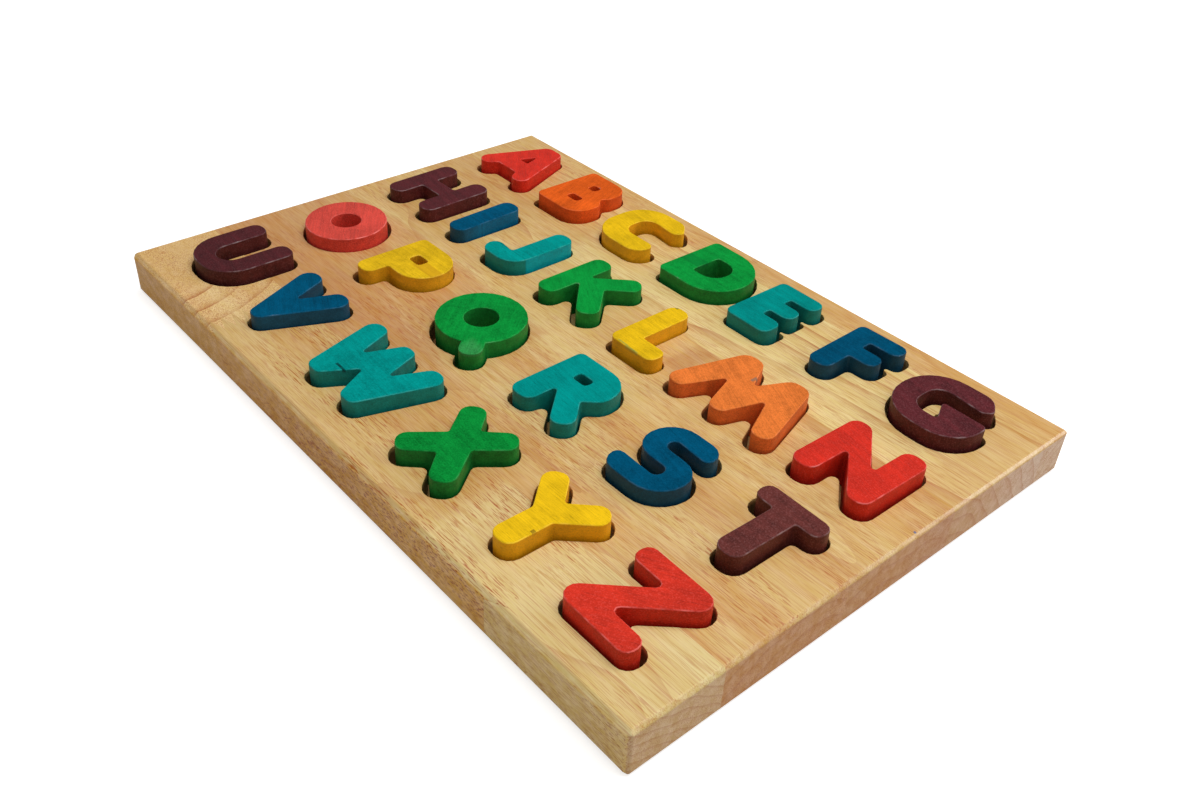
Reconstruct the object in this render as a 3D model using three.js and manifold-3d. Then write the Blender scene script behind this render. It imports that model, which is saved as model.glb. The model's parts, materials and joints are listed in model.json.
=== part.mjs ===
// Capital letter puzzle: a glued wooden board with 26 routed pockets and 26 loose wooden letters.
// Millimetres, +Z up. The board lies on z = 0, +X runs along the rows of letters and +Y points up the page.

import * as THREE from "three";
import { mergeVertices } from "three/addons/utils/BufferGeometryUtils.js";
import Module from "manifold-3d";

const wasm = await Module();
wasm.setup();

// Board
const BOARD_LENGTH = 420;
const BOARD_THICKNESS = 25;
const LONG_EDGE_CHAMFER = 2.4;
const END_EDGE_CHAMFER = 1.6;
const CORNER_CHAMFER = 1.8;

// Staves that the board is glued up from
const STAVE_WIDTH = 72;
const BACK_STAVE_WIDTH = 21.5;
const FRONT_STAVE_WIDTH = 48.5;
const LEFT_JOINT_X = -107.5;
const RIGHT_JOINT_X = 124;
const FINGER_LENGTH = 12;
const FINGERS = 8;

// Letters
const LETTER_HEIGHT = 47;
const LETTER_THICKNESS = 20;
const LETTER_STANDS_PROUD = 8;
const STEM = 13.4;
const BAR = 11;
const SLANT_STROKE = 12.6;
const STEM_END_ROUND = 5.5;
const BAR_END_ROUND = 4.6;
const BACK_CORNER_ROUND = 3.5;
const CREASE = 1.4;
const COUNTER_ROUND = 1.8;
const EDGE_BREAK = 0.4;

// Pockets and their rows
const POCKET_CLEARANCE = 2;
const POCKET_TONGUE_ROUND = 3;
const ROW_PITCH = 67.7;
const FACET_SAG = 0.16;

const BOARD_WIDTH = BACK_STAVE_WIDTH + 3 * STAVE_WIDTH + FRONT_STAVE_WIDTH;
const TOP = LETTER_HEIGHT / 2;
const BOTTOM = -LETTER_HEIGHT / 2;
const POCKET_DEPTH = LETTER_THICKNESS - LETTER_STANDS_PROUD;
const POCKET_FLOOR = BOARD_THICKNESS - POCKET_DEPTH;

const RED = 0xcb2c23;
const CORAL = 0xd44a40;
const ORANGE = 0xdb6c2e;
const YELLOW = 0xe0b62e;
const GREEN = 0x1d8f47;
const TEAL = 0x058b88;
const BLUE = 0x07527f;
const MAROON = 0x5c212b;
const PALE_WOOD = 0xd8b67e;
const WARM_WOOD = 0xc89a64;

// Outlines: counter-clockwise lists of corners, each with the radius that it is rounded to

function at(x, y, radius) {
  return { x, y, radius };
}

// Right half from bottom to top, completed by its mirror image
function mirrored(rightHalf) {
  const offAxis = rightHalf.filter((corner) => corner.x !== 0);
  const leftHalf = offAxis.map((corner) => at(-corner.x, corner.y, corner.radius)).reverse();
  return [...rightHalf, ...leftHalf];
}

// One half, completed by the same half turned through 180 degrees
function spun(half) {
  return [...half, ...half.map((corner) => at(-corner.x, -corner.y, corner.radius))];
}

// The two corners that close a slanted stroke, square across its direction
function strokeEnd(tipX, tipY, degrees, width, radius) {
  const angle = THREE.MathUtils.degToRad(degrees);
  const acrossX = Math.sin(angle) * width / 2;
  const acrossY = -Math.cos(angle) * width / 2;
  return [at(tipX + acrossX, tipY + acrossY, radius), at(tipX - acrossX, tipY - acrossY, radius)];
}

function box(centreX, centreY, width, height, radius) {
  const right = centreX + width / 2;
  const left = centreX - width / 2;
  const upper = centreY + height / 2;
  const lower = centreY - height / 2;
  const base = [at(left, lower, radius), at(right, lower, radius)];
  const head = [at(right, upper, radius), at(left, upper, radius)];
  return [...base, ...head];
}

function circle(radius) {
  return box(0, 0, radius * 2, radius * 2, radius);
}

// Directions, turn and tangent length at every corner of an outline
function bends(corners) {
  const count = corners.length;
  return corners.map((corner, i) => {
    const here = new THREE.Vector2(corner.x, corner.y);
    const before = corners[(i + count - 1) % count];
    const after = corners[(i + 1) % count];
    const into = here.clone().sub(before);
    const away = new THREE.Vector2(after.x, after.y).sub(here);
    const edge = away.length();
    into.normalize();
    away.normalize();
    const turn = Math.atan2(into.cross(away), into.dot(away));
    const reach = corner.radius * Math.tan(Math.abs(turn) / 2);
    return { here, into, away, edge, turn, reach, radius: corner.radius };
  });
}

// Rounds the corners with arcs, all radii eased where two arcs would meet on one edge
function roundedOutline(corners) {
  const list = bends(corners);
  const count = list.length;
  const points = [];
  list.forEach((bend, i) => {
    const before = list[(i + count - 1) % count];
    const after = list[(i + 1) % count];
    const roomBefore = before.edge / (before.reach + bend.reach);
    const roomAfter = bend.edge / (bend.reach + after.reach);
    const ease = Math.min(1, roomBefore, roomAfter);
    const radius = bend.radius * ease;
    const start = bend.here.clone().addScaledVector(bend.into, -bend.reach * ease);
    const side = Math.sign(bend.turn);
    const centre = new THREE.Vector2(-bend.into.y, bend.into.x).multiplyScalar(side * radius).add(start);
    const from = Math.atan2(start.y - centre.y, start.x - centre.x);
    const arc = new THREE.EllipseCurve(centre.x, centre.y, radius, radius, from, from + bend.turn, side < 0);
    const step = 2 * Math.acos(1 - FACET_SAG / Math.max(radius, FACET_SAG * 4));
    const steps = Math.ceil(Math.abs(bend.turn) / step);
    points.push(...arc.getPoints(steps));
  });
  return points.filter((point, i) => point.distanceTo(points.at(i - 1)) > 0.01);
}

// Moves every edge of an outline outwards by the clearance; tongues of board keep a rounded tip
function grown(corners) {
  return bends(corners).map((bend) => {
    const outX = bend.into.y + bend.away.y;
    const outY = -bend.into.x - bend.away.x;
    const scale = POCKET_CLEARANCE / (1 + bend.into.dot(bend.away));
    const convex = bend.turn > 0;
    const tongue = Math.max(bend.radius - POCKET_CLEARANCE, POCKET_TONGUE_ROUND);
    const radius = convex ? bend.radius + POCKET_CLEARANCE : tongue;
    return at(bend.here.x + outX * scale, bend.here.y + outY * scale, radius);
  });
}

// Letter shapes: outer strokes, the counters cut through them, and the pocket where it is simpler

function shapeA() {
  const footHalf = 25.2;
  const apexHalf = 7;
  const archTopHalf = 9;
  const archFootHalf = 13.3;
  const archTop = BOTTOM + 7;
  const counterHalf = 3.9;
  const counterBase = -3.1;
  const counterHeight = 11;
  const counterRound = EDGE_BREAK * 2;
  const strokes = [mirrored([
    at(archTopHalf, archTop, CREASE),
    at(archFootHalf, BOTTOM, BAR_END_ROUND),
    at(footHalf, BOTTOM, STEM_END_ROUND),
    at(apexHalf, TOP, STEM_END_ROUND),
  ])];
  const counters = [mirrored([
    at(counterHalf, counterBase, counterRound),
    at(0, counterBase + counterHeight, counterRound),
  ])];
  return { strokes, counters };
}

function shapeB() {
  const left = -18.8;
  const upperRight = 15.5;
  const lowerRight = 19;
  const upperBowlRound = 11;
  const lowerBowlRound = 13;
  const waistX = 12.6;
  const waistY = 2;
  const waistRound = 5.5;
  const strokes = [[
    at(left, BOTTOM, BACK_CORNER_ROUND),
    at(lowerRight, BOTTOM, lowerBowlRound),
    at(lowerRight, waistY - (lowerRight - waistX), waistRound),
    at(waistX, waistY, CREASE),
    at(upperRight, waistY + (upperRight - waistX) * 1.5, waistRound),
    at(upperRight, TOP, upperBowlRound),
    at(left, TOP, BACK_CORNER_ROUND),
  ]];
  const upperCounter = box(-1.3, 8.8, 6.5, 6, COUNTER_ROUND);
  const lowerCounter = box(0.4, -8.6, 10, 5.6, COUNTER_ROUND);
  return { strokes, counters: [upperCounter, lowerCounter] };
}

function shapeC() {
  const half = 21;
  const backRound = 19;
  const footRound = 10;
  const innerLeft = -6.5;
  const innerRound = 8;
  const lowerArmTop = -9.3;
  const upperArmBase = 11.8;
  const shoulderX = 12.5;
  const shoulderRound = 9;
  const tipX = 16.5;
  const tipRound = 3;
  const strokes = [[
    at(half, BOTTOM, footRound),
    at(half, lowerArmTop, BAR_END_ROUND),
    at(innerLeft, lowerArmTop, innerRound),
    at(innerLeft, upperArmBase, innerRound),
    at(tipX, upperArmBase - 2.3, tipRound),
    at(half, upperArmBase + 2.7, tipRound),
    at(shoulderX, TOP, shoulderRound),
    at(-half, TOP, backRound),
    at(-half, BOTTOM, backRound),
  ]];
  return { strokes, counters: [] };
}

function shapeD() {
  const half = 22.6;
  const upperBowlRound = 24.5;
  const lowerBowlRound = 22;
  const counterHalf = 8.3;
  const counterTop = 10.6;
  const counterBase = -10;
  const counterBowlRound = 9.4;
  const strokes = [[
    at(-half, BOTTOM, BACK_CORNER_ROUND),
    at(half, BOTTOM, lowerBowlRound),
    at(half, TOP, upperBowlRound),
    at(-half, TOP, BACK_CORNER_ROUND),
  ]];
  const counters = [[
    at(-counterHalf, counterBase, COUNTER_ROUND),
    at(counterHalf, counterBase, counterBowlRound),
    at(counterHalf, counterTop, counterBowlRound),
    at(-counterHalf, counterTop, COUNTER_ROUND),
  ]];
  return { strokes, counters };
}

function shapeE() {
  const half = 15.4;
  const stem = 15.3;
  const middleReach = 13.4;
  const footReach = 14;
  const footThickness = 13.8;
  const gap = 5.6;
  const footTop = BOTTOM + footThickness;
  const armBase = TOP - BAR;
  const outline = (inner) => [
    at(-half, BOTTOM, BAR_END_ROUND),
    at(footReach, BOTTOM, BAR_END_ROUND),
    at(footReach, footTop, BAR_END_ROUND),
    at(inner, footTop, CREASE),
    at(inner, footTop + gap, CREASE),
    at(middleReach, footTop + gap, BAR_END_ROUND),
    at(middleReach, armBase - gap, BAR_END_ROUND),
    at(inner, armBase - gap, CREASE),
    at(inner, armBase, CREASE),
    at(half, armBase, BAR_END_ROUND),
    at(half, TOP, BAR_END_ROUND),
    at(-half, TOP, BACK_CORNER_ROUND),
  ];
  const notchStart = half - BAR_END_ROUND - POCKET_CLEARANCE;
  return { strokes: [outline(stem - half)], counters: [], pocket: [outline(notchStart)] };
}

function shapeF() {
  const half = 15.3;
  const middleReach = 12.7;
  const gap = 6.6;
  const armBase = TOP - BAR;
  const middleTop = armBase - gap;
  const stemRight = STEM - half;
  const outline = (inner) => [
    at(-half, BOTTOM, STEM_END_ROUND),
    at(stemRight, BOTTOM, STEM_END_ROUND),
    at(stemRight, middleTop - BAR, CREASE),
    at(middleReach, middleTop - BAR, BAR_END_ROUND),
    at(middleReach, middleTop, BAR_END_ROUND),
    at(inner, middleTop, CREASE),
    at(inner, armBase, CREASE),
    at(half, armBase, BAR_END_ROUND),
    at(half, TOP, BAR_END_ROUND),
    at(-half, TOP, BACK_CORNER_ROUND),
  ];
  const notchStart = half - BAR_END_ROUND - POCKET_CLEARANCE;
  return { strokes: [outline(stemRight)], counters: [], pocket: [outline(notchStart)] };
}

function shapeG() {
  const half = 24.2;
  const backRound = 22;
  const footRound = 19;
  const innerLeft = -11.3;
  const innerBase = -11.6;
  const innerRound = 8.5;
  const upperArmBase = 12;
  const shoulderX = 13.6;
  const shoulderRound = 9;
  const tipX = 15.5;
  const tipRound = 3;
  const barLeft = -1.6;
  const barTop = 1.5;
  const barSlant = 6.2;
  const spurRound = 1.6;
  const strokes = [[
    at(half, BOTTOM, footRound),
    at(half, barTop, tipRound),
    at(barLeft, barTop, spurRound),
    at(barLeft + barSlant, innerBase, CREASE),
    at(innerLeft, innerBase, innerRound),
    at(innerLeft, upperArmBase, innerRound),
    at(tipX, upperArmBase - 2.7, tipRound),
    at(tipX + 4.5, upperArmBase + 1.6, tipRound),
    at(shoulderX, TOP, shoulderRound),
    at(-half, TOP, backRound),
    at(-half, BOTTOM, backRound),
  ]];
  return { strokes, counters: [] };
}

function shapeH() {
  const half = 22.2;
  const inner = half - STEM;
  const strokes = [mirrored([
    at(inner, -BAR / 2, CREASE),
    at(inner, BOTTOM, STEM_END_ROUND),
    at(half, BOTTOM, STEM_END_ROUND),
    at(half, TOP, STEM_END_ROUND),
    at(inner, TOP, STEM_END_ROUND),
    at(inner, BAR / 2, CREASE),
  ])];
  return { strokes, counters: [] };
}

function shapeI() {
  return { strokes: [box(0, 0, STEM, LETTER_HEIGHT, STEM_END_ROUND)], counters: [] };
}

function shapeJ() {
  const half = 14.5;
  const stemLeft = half - STEM;
  const heelRound = 13;
  const hookTop = -10.6;
  const hookRound = 7.4;
  const hookDip = 1.6;
  const strokes = [[
    at(half, BOTTOM, heelRound),
    at(half, TOP, STEM_END_ROUND),
    at(stemLeft, TOP, STEM_END_ROUND),
    at(stemLeft, hookTop - hookDip, CREASE),
    at(-half, hookTop, STEM_END_ROUND),
    at(-half, BOTTOM, hookRound),
  ]];
  return { strokes, counters: [] };
}

function shapeK() {
  const left = -21.4;
  const stemRight = left + STEM;
  const armNotchY = 4;
  const legNotchY = -2.6;
  const crotchX = 6.9;
  const crotchY = 2.4;
  const legTipX = 19.5;
  const legTipY = BOTTOM + 3;
  const legAngle = -45;
  const armTipX = 16.3;
  const armTipY = TOP - 2.1;
  const armAngle = 47.5;
  const strokes = [[
    at(left, BOTTOM, STEM_END_ROUND),
    at(stemRight, BOTTOM, STEM_END_ROUND),
    at(stemRight, legNotchY, CREASE),
    ...strokeEnd(legTipX, legTipY, legAngle, SLANT_STROKE, STEM_END_ROUND),
    at(crotchX, crotchY, CREASE),
    ...strokeEnd(armTipX, armTipY, armAngle, SLANT_STROKE, STEM_END_ROUND),
    at(stemRight, armNotchY, CREASE),
    at(stemRight, TOP, STEM_END_ROUND),
    at(left, TOP, STEM_END_ROUND),
  ]];
  return { strokes, counters: [] };
}

function shapeL() {
  const half = 15.6;
  const stemRight = STEM - half;
  const footTop = BOTTOM + 12;
  const strokes = [[
    at(-half, BOTTOM, BAR_END_ROUND),
    at(half, BOTTOM, BAR_END_ROUND),
    at(half, footTop, BAR_END_ROUND),
    at(stemRight, footTop, CREASE),
    at(stemRight, TOP, STEM_END_ROUND),
    at(-half, TOP, STEM_END_ROUND),
  ]];
  return { strokes, counters: [] };
}

function shapeM() {
  const middleFootHalf = 4.2;
  const archX = 12.3;
  const archTop = 0.6;
  const footInner = 23.2;
  const footOuter = 35.1;
  const peakOuter = 21;
  const peakInner = 9.4;
  const peakRound = 6.5;
  const valleyY = 4.2;
  const strokes = [mirrored([
    at(middleFootHalf, BOTTOM, BAR_END_ROUND),
    at(archX, archTop, CREASE),
    at(footInner, BOTTOM, BAR_END_ROUND),
    at(footOuter, BOTTOM, STEM_END_ROUND),
    at(peakOuter, TOP, peakRound),
    at(peakInner, TOP, peakRound),
    at(0, valleyY, CREASE),
  ])];
  return { strokes, counters: [] };
}

function shapeN() {
  const half = 22;
  const inner = half - STEM;
  const shoulderX = 12.2;
  const notchY = 2.5;
  const strokes = [spun([
    at(-half, BOTTOM, STEM_END_ROUND),
    at(-inner, BOTTOM, STEM_END_ROUND),
    at(-inner, notchY, CREASE),
    at(shoulderX, BOTTOM, STEM_END_ROUND),
    at(half, BOTTOM, STEM_END_ROUND),
  ])];
  return { strokes, counters: [] };
}

function shapeO() {
  const counterRadius = 8.7;
  return { strokes: [circle(LETTER_HEIGHT / 2)], counters: [circle(counterRadius)] };
}

function shapeP() {
  const half = 19.5;
  const stemRight = STEM - half;
  const bowlBase = -9.8;
  const bowlRound = 16.5;
  const strokes = [[
    at(-half, BOTTOM, STEM_END_ROUND),
    at(stemRight, BOTTOM, STEM_END_ROUND),
    at(stemRight, bowlBase, CREASE),
    at(half, bowlBase, bowlRound),
    at(half, TOP, bowlRound),
    at(-half, TOP, BACK_CORNER_ROUND),
  ]];
  return { strokes, counters: [box(-1.2, 6.9, 10, 7, COUNTER_ROUND)] };
}

function shapeQ() {
  const ringRadius = 24.2;
  const counterRadius = 9.3;
  const tailWidth = 12.4;
  const tailAngle = -48;
  const tailTipX = 23.6;
  const tailTipY = -25.4;
  const tailRootX = 12;
  const tailRootY = -12;
  const tail = [
    ...strokeEnd(tailTipX, tailTipY, tailAngle, tailWidth, STEM_END_ROUND),
    ...strokeEnd(tailRootX, tailRootY, tailAngle + 180, tailWidth, CREASE),
  ];
  return { strokes: [circle(ringRadius), tail], counters: [circle(counterRadius)] };
}

function shapeR() {
  const left = -20;
  const right = 18.5;
  const stemRight = -5.2;
  const notchY = -4.6;
  const crotchX = 11;
  const crotchY = -4.4;
  const bowlBase = 3.6;
  const lowerBowlRound = 9;
  const upperBowlRound = 15;
  const legTipX = 18.8;
  const legTipY = BOTTOM + 1.1;
  const legAngle = -50;
  const strokes = [[
    at(left, BOTTOM, STEM_END_ROUND),
    at(stemRight, BOTTOM, STEM_END_ROUND),
    at(stemRight, notchY, CREASE),
    ...strokeEnd(legTipX, legTipY, legAngle, SLANT_STROKE, STEM_END_ROUND),
    at(crotchX, crotchY, CREASE),
    at(right, bowlBase, lowerBowlRound),
    at(right, TOP, upperBowlRound),
    at(left, TOP, BACK_CORNER_ROUND),
  ]];
  return { strokes, counters: [box(-1.6, 8.3, 9.6, 6, COUNTER_ROUND)] };
}

function shapeS() {
  const half = 18.5;
  const upperTip = 14.6;
  const upperTipBase = 11.4;
  const upperTipRound = 3.5;
  const upperTipShoulder = 8;
  const upperBowlRound = 15;
  const upperBowlBase = -4.2;
  const upperBowlHeel = 12;
  const lowerTipTop = -11.6;
  const lowerTipRound = 3.8;
  const lowerTipShoulder = 8;
  const lowerBowlRound = 16.5;
  const lowerBowlTop = 5;
  const lowerBowlHeel = 11.5;
  const slotLeft = -7.1;
  const slotRight = 6.2;
  const slotRound = 3.4;
  const strokes = [[
    at(-half, BOTTOM, lowerTipShoulder),
    at(half, BOTTOM, lowerBowlRound),
    at(half, lowerBowlTop, lowerBowlHeel),
    at(slotLeft, lowerBowlTop + 0.6, slotRound),
    at(slotLeft, upperTipBase + 1.4, slotRound),
    at(upperTip, upperTipBase, upperTipRound),
    at(upperTip, TOP, upperTipShoulder),
    at(-half, TOP, upperBowlRound),
    at(-half, upperBowlBase, upperBowlHeel),
    at(slotRight, upperBowlBase - 0.2, slotRound),
    at(slotRight, lowerTipTop - 0.8, slotRound),
    at(-half, lowerTipTop, lowerTipRound),
  ]];
  return { strokes, counters: [] };
}

function shapeT() {
  const half = 18.6;
  const barBase = TOP - BAR;
  const strokes = [mirrored([
    at(STEM / 2, BOTTOM, STEM_END_ROUND),
    at(STEM / 2, barBase, CREASE),
    at(half, barBase, BAR_END_ROUND),
    at(half, TOP, BAR_END_ROUND),
  ])];
  return { strokes, counters: [] };
}

function shapeU() {
  const half = 22;
  const inner = half - STEM;
  const innerBase = -12.6;
  const outerRound = 19.5;
  const strokes = [mirrored([
    at(half, BOTTOM, outerRound),
    at(half, TOP, STEM_END_ROUND),
    at(inner, TOP, STEM_END_ROUND),
    at(inner, innerBase, inner),
  ])];
  return { strokes, counters: [] };
}

function shapeV() {
  const footHalf = 4;
  const armOuter = 24.2;
  const armInner = 9;
  const armRound = 6.4;
  const notchY = 0.7;
  const strokes = [mirrored([
    at(footHalf, BOTTOM, BAR_END_ROUND),
    at(armOuter, TOP, armRound),
    at(armInner, TOP, STEM_END_ROUND),
    at(0, notchY, CREASE),
  ])];
  return { strokes, counters: [] };
}

function shapeW() {
  const archTop = -4.1;
  const footInner = 10.6;
  const footOuter = 20.6;
  const armOuter = 34.6;
  const armInner = 21;
  const armRound = 6.2;
  const notchX = 12.3;
  const notchY = 1;
  const peakHalf = 4.4;
  const strokes = [mirrored([
    at(0, archTop, CREASE),
    at(footInner, BOTTOM, BAR_END_ROUND),
    at(footOuter, BOTTOM, BAR_END_ROUND),
    at(armOuter, TOP, armRound),
    at(armInner, TOP, STEM_END_ROUND),
    at(notchX, notchY, CREASE),
    at(peakHalf, TOP, BAR_END_ROUND),
  ])];
  return { strokes, counters: [] };
}

function shapeX() {
  const lowerNotchY = -11.5;
  const sideNotchX = 8.6;
  const sideNotchY = 1;
  const upperNotchY = 12.3;
  const legTipX = 17.8;
  const legTipY = BOTTOM + 1.6;
  const legAngle = -52;
  const armTipX = 16.6;
  const armTipY = TOP - 1.9;
  const armAngle = 51;
  const strokes = [mirrored([
    at(0, lowerNotchY, CREASE),
    ...strokeEnd(legTipX, legTipY, legAngle, SLANT_STROKE, STEM_END_ROUND),
    at(sideNotchX, sideNotchY, CREASE),
    ...strokeEnd(armTipX, armTipY, armAngle, SLANT_STROKE, STEM_END_ROUND),
    at(0, upperNotchY, CREASE),
  ])];
  return { strokes, counters: [] };
}

function shapeY() {
  const crotchY = 11.8;
  const armpitY = 0;
  const armTipX = 18.2;
  const armTipY = TOP - 1.3;
  const armAngle = 49.5;
  const strokes = [mirrored([
    at(STEM / 2, BOTTOM, STEM_END_ROUND),
    at(STEM / 2, armpitY, CREASE),
    ...strokeEnd(armTipX, armTipY, armAngle, SLANT_STROKE, STEM_END_ROUND),
    at(0, crotchY, CREASE),
  ])];
  return { strokes, counters: [] };
}

function shapeZ() {
  const cornerX = 28.5;
  const cornerRound = 6;
  const armReach = 19.5;
  const notchX = 3.4;
  const notchRound = 2.2;
  const armTop = BOTTOM + BAR;
  const strokes = [spun([
    at(-cornerX, BOTTOM, cornerRound),
    at(armReach, BOTTOM, BAR_END_ROUND),
    at(armReach, armTop, BAR_END_ROUND),
    at(-notchX, armTop, notchRound),
  ])];
  return { strokes, counters: [] };
}

// Rows of letters from the back of the board to the front. Each line: letter, shape, stain,
// pocket centre x, pocket rise above the row line, lean right and lean up as shares of the clearance, turn
const ROWS = [
  [
    ["A", shapeA, RED, -165.6, 1.2, 0.55, 0.1, -1],
    ["B", shapeB, ORANGE, -107.6, 0.8, 0.3, 0.5, -0.5],
    ["C", shapeC, YELLOW, -52.4, 0.5, -0.05, -0.2, 0],
    ["D", shapeD, GREEN, 8.5, 0.4, 0.15, -0.05, -0.8],
    ["E", shapeE, TEAL, 56.2, -1.7, 0, -0.2, -0.8],
    ["F", shapeF, BLUE, 112.2, -0.3, -0.2, -0.2, 1.2],
    ["G", shapeG, MAROON, 165.3, -2, 0, 0, 0],
  ],
  [
    ["H", shapeH, MAROON, -165.8, 0.2, 0.25, -0.1, 1.2],
    ["I", shapeI, BLUE, -118.9, 0.2, 0.2, 0.35, 2],
    ["J", shapeJ, TEAL, -77, 0.1, 0, 0.6, 0],
    ["K", shapeK, GREEN, -19.5, -0.3, 0.3, 0.5, 0],
    ["L", shapeL, YELLOW, 36.8, -0.7, 0.55, 0.25, 0],
    ["M", shapeM, ORANGE, 98.1, -1.9, 0.5, 0.15, 0.7],
    ["N", shapeN, RED, 167.5, -1.2, 0, 0.4, -1.3],
  ],
  [
    ["O", shapeO, CORAL, -162.1, 0.8, 0.55, -0.4, 0],
    ["P", shapeP, YELLOW, -97.3, 0.4, 0.45, 0.5, 0],
    ["Q", shapeQ, GREEN, -29.4, 0.4, 0, 0.6, 0],
    ["R", shapeR, TEAL, 45.7, -0.1, 0.55, -0.15, 0.7],
    ["S", shapeS, BLUE, 112.8, -0.7, 0.25, -0.3, 0],
    ["T", shapeT, MAROON, 171.2, -1.2, 0, 0.45, -1.3],
  ],
  [
    ["U", shapeU, MAROON, -164.6, 1.6, -0.2, 0.15, 0],
    ["V", shapeV, BLUE, -102.1, 0.6, 0.55, -0.1, 0],
    ["W", shapeW, TEAL, -26.3, 0.1, 0.25, 0.3, -1],
    ["X", shapeX, GREEN, 47.2, -0.7, 0.35, 0.5, 0],
    ["Y", shapeY, YELLOW, 108.4, 0.1, 0.15, 0, -0.5],
    ["Z", shapeZ, RED, 168.1, 0.3, 0, -0.15, -1.3],
  ],
];

// Solids

function solidOf(geometry) {
  geometry.deleteAttribute("normal");
  geometry.deleteAttribute("uv");
  const merged = mergeVertices(geometry, 1e-5);
  const vertProperties = new Float32Array(merged.attributes.position.array);
  const triVerts = new Uint32Array(merged.index.array);
  return new wasm.Manifold(new wasm.Mesh({ numProp: 3, vertProperties, triVerts }));
}

function geometryOf(solid) {
  const mesh = solid.getMesh();
  const geometry = new THREE.BufferGeometry();
  geometry.setAttribute("position", new THREE.BufferAttribute(mesh.vertProperties, 3));
  geometry.setIndex(new THREE.BufferAttribute(mesh.triVerts, 1));
  return geometry;
}

function prism(points, depth) {
  return new THREE.ExtrudeGeometry(new THREE.Shape(points), { depth, bevelEnabled: false });
}

// A letter blank with its top and bottom edges broken
function letterPrism(corners, counters) {
  const shape = new THREE.Shape(roundedOutline(corners));
  shape.holes = counters.map((counter) => new THREE.Path(roundedOutline(counter)));
  return new THREE.ExtrudeGeometry(shape, {
    depth: LETTER_THICKNESS - EDGE_BREAK * 2,
    bevelThickness: EDGE_BREAK,
    bevelSize: EDGE_BREAK,
    bevelOffset: -EDGE_BREAK,
    bevelSegments: 1,
  });
}

function letterGeometry(shape) {
  const [body, ...extras] = shape.strokes;
  const start = solidOf(letterPrism(body, shape.counters));
  const whole = extras.reduce((solid, extra) => solid.add(solidOf(letterPrism(extra, []))), start);
  return geometryOf(whole);
}

function pocketSolid(shape, x, y) {
  const outlines = shape.pocket ?? shape.strokes;
  const above = 1;
  const cutters = outlines.map((corners) => {
    const cutter = prism(roundedOutline(grown(corners)), POCKET_DEPTH + above);
    return solidOf(cutter.translate(x, y, POCKET_FLOOR));
  });
  return cutters.reduce((whole, cutter) => whole.add(cutter));
}

// A rectangle with its four corners cut off by a chamfer
function chamferedRectangle(width, height, chamfer) {
  const right = width / 2;
  const upper = height / 2;
  const rightSide = [
    [right - chamfer, -upper],
    [right, chamfer - upper],
    [right, upper - chamfer],
    [right - chamfer, upper],
  ];
  const leftSide = rightSide.map(([x, y]) => [-x, -y]);
  return [...rightSide, ...leftSide].map(([x, y]) => new THREE.Vector2(x, y));
}

// The board blank, where three chamfered prisms meet
function boardBlank() {
  const plan = prism(chamferedRectangle(BOARD_LENGTH, BOARD_WIDTH, CORNER_CHAMFER), BOARD_THICKNESS);
  const across = prism(chamferedRectangle(BOARD_THICKNESS, BOARD_WIDTH, LONG_EDGE_CHAMFER), BOARD_LENGTH);
  across.rotateY(Math.PI / 2).translate(-BOARD_LENGTH / 2, 0, BOARD_THICKNESS / 2);
  const along = prism(chamferedRectangle(BOARD_LENGTH, BOARD_THICKNESS, END_EDGE_CHAMFER), BOARD_WIDTH);
  along.rotateX(Math.PI / 2).translate(0, BOARD_WIDTH / 2, BOARD_THICKNESS / 2);
  return solidOf(plan).intersect(solidOf(across)).intersect(solidOf(along));
}

// Everything to the right of a finger joint, from the front edge back to the first glue line
function rightOfFingers(jointX, fingersPoint, frontY, backY) {
  const pitch = (backY - frontY) / FINGERS;
  const zigzag = [];
  for (let finger = 0; finger < FINGERS; finger += 1) {
    zigzag.push(new THREE.Vector2(jointX, frontY + finger * pitch));
    zigzag.push(new THREE.Vector2(jointX + fingersPoint * FINGER_LENGTH, frontY + (finger + 0.5) * pitch));
  }
  zigzag.push(new THREE.Vector2(jointX, backY));
  const far = new THREE.Vector2(BOARD_LENGTH, backY);
  const near = new THREE.Vector2(BOARD_LENGTH, frontY);
  return solidOf(prism([near, far, ...zigzag.reverse()], BOARD_THICKNESS));
}

function staveBetween(blank, frontY, backY) {
  const slab = new THREE.BoxGeometry(BOARD_LENGTH, backY - frontY, BOARD_THICKNESS);
  slab.translate(0, (frontY + backY) / 2, BOARD_THICKNESS / 2);
  return blank.intersect(solidOf(slab));
}

// Meshes

const puzzle = new THREE.Group();

function addMesh(parent, name, geometry, color, roughness) {
  const mesh = new THREE.Mesh(geometry, new THREE.MeshStandardMaterial({ color, roughness, metalness: 0 }));
  mesh.name = name;
  parent.add(mesh);
  return mesh;
}

const board = new THREE.Group();
const letters = new THREE.Group();
letters.position.z = POCKET_FLOOR + EDGE_BREAK;
puzzle.add(board, letters);

const pockets = [];
ROWS.forEach((row, rowIndex) => {
  const rowY = ((ROWS.length - 1) / 2 - rowIndex) * ROW_PITCH;
  row.forEach(([letter, makeShape, stain, x, rise, leanRight, leanUp, turn]) => {
    const shape = makeShape();
    const y = rowY + rise;
    pockets.push(pocketSolid(shape, x, y));
    const mesh = addMesh(letters, `letter_${letter}`, letterGeometry(shape), stain, 0.5);
    mesh.position.set(x + leanRight * POCKET_CLEARANCE, y + leanUp * POCKET_CLEARANCE, 0);
    mesh.rotation.z = THREE.MathUtils.degToRad(turn);
  });
});

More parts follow.
